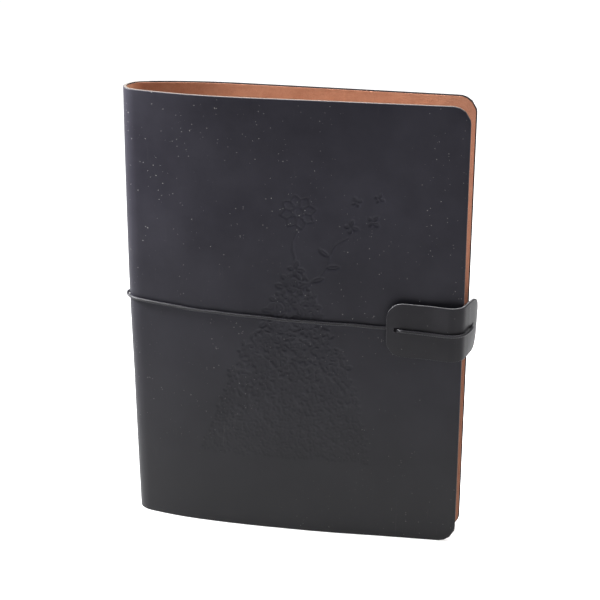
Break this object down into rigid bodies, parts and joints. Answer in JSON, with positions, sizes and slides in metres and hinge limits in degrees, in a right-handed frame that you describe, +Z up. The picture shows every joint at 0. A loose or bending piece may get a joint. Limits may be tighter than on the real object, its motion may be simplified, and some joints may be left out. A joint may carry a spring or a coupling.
{
  "type": "leather notebook cover",
  "caption": "Wrap-round leather notebook cover with a six-ring mechanism inside the back cover and an elastic closure with a leather tab round the fore-edge.",
  "frame": {"origin": "bottom centre of the closed cover's box, on the surface that it stands on", "axes": "+X from the spine to the fore-edge, +Y from the front cover to the back cover, +Z up along the spine"},
  "size_m": [0.1448, 0.0282, 0.185],
  "materials": {
    "cover_leather": "smooth matt, with a debossed motif on the front cover",
    "tab_leather": "smooth matt, slightly polished on the bend",
    "suede_lining": "short brushed nap",
    "elastic_cord": "fine round braid",
    "nickel_plate": "bright nickel plate",
    "spring_steel": "cold-rolled, dull",
    "rivet_plate": "nickel plate"
  },
  "bodies": {
    "back_cover": {"back_leather": "cover_leather", "back_lining": "suede_lining", "ring_rail": "nickel_plate", "rail_rivets": "rivet_plate", "rivet_caps": "rivet_plate", "closure_cord_back": "elastic_cord", "closure_cord_anchor": "elastic_cord", "closure_cord_knot": "elastic_cord"},
    "spine": {"spine_leather": "cover_leather", "spine_lining": "suede_lining"},
    "front_cover": {"front_leather": "cover_leather", "front_lining": "suede_lining"},
    "left_rings": {"left_hinge_blade": "spring_steel", "left_half_ring_1": "nickel_plate", "left_half_ring_2": "nickel_plate", "left_half_ring_3": "nickel_plate", "left_half_ring_4": "nickel_plate", "left_half_ring_5": "nickel_plate", "left_half_ring_6": "nickel_plate"},
    "right_rings": {"right_hinge_blade": "spring_steel", "right_half_ring_1": "nickel_plate", "right_half_ring_2": "nickel_plate", "right_half_ring_3": "nickel_plate", "right_half_ring_4": "nickel_plate", "right_half_ring_5": "nickel_plate", "right_half_ring_6": "nickel_plate"},
    "closure": {"closure_tab": "tab_leather", "closure_cord_front": "elastic_cord", "closure_cord_over_tab": "elastic_cord", "closure_cord_edge": "elastic_cord"}
  },
  "joints": [
    {"name": "front_fold", "type": "hinge", "parent": "spine", "child": "front_cover", "pos_m": [-0.0626, -0.00738, 0.0925], "axis": [0, 0, -1], "range_deg": [0, 90], "deforming": ["closure_tab", "closure_cord_over_tab"]},
    {"name": "back_fold", "type": "hinge", "parent": "back_cover", "child": "spine", "pos_m": [-0.0626, 0.00864, 0.0925], "axis": [0, 0, -1], "range_deg": [0, 90], "deforming": ["closure_cord_back"]},
    {"name": "left_rings_swing", "type": "hinge", "parent": "back_cover", "child": "left_rings", "pos_m": [-0.04589, 0.00862, 0.0925], "axis": [0, 0, -1], "range_deg": [0, 15]},
    {"name": "right_rings_swing", "type": "hinge", "parent": "back_cover", "child": "right_rings", "pos_m": [-0.03512, 0.00942, 0.0925], "axis": [0, 0, 1], "range_deg": [0, 15]},
    {"name": "closure_pull", "type": "slide", "parent": "back_cover", "child": "closure", "axis": [1, 0, 0], "range_m": [0, 0.035], "stiffness_N_per_m": 60, "springref_m": -0.01, "deforming": ["closure_cord_front", "closure_cord_edge"]}
  ],
  "couplings": [
    {"joint": "back_fold", "follows": "front_fold", "ratio": 1},
    {"joint": "right_rings_swing", "follows": "left_rings_swing", "ratio": 1}
  ]
}
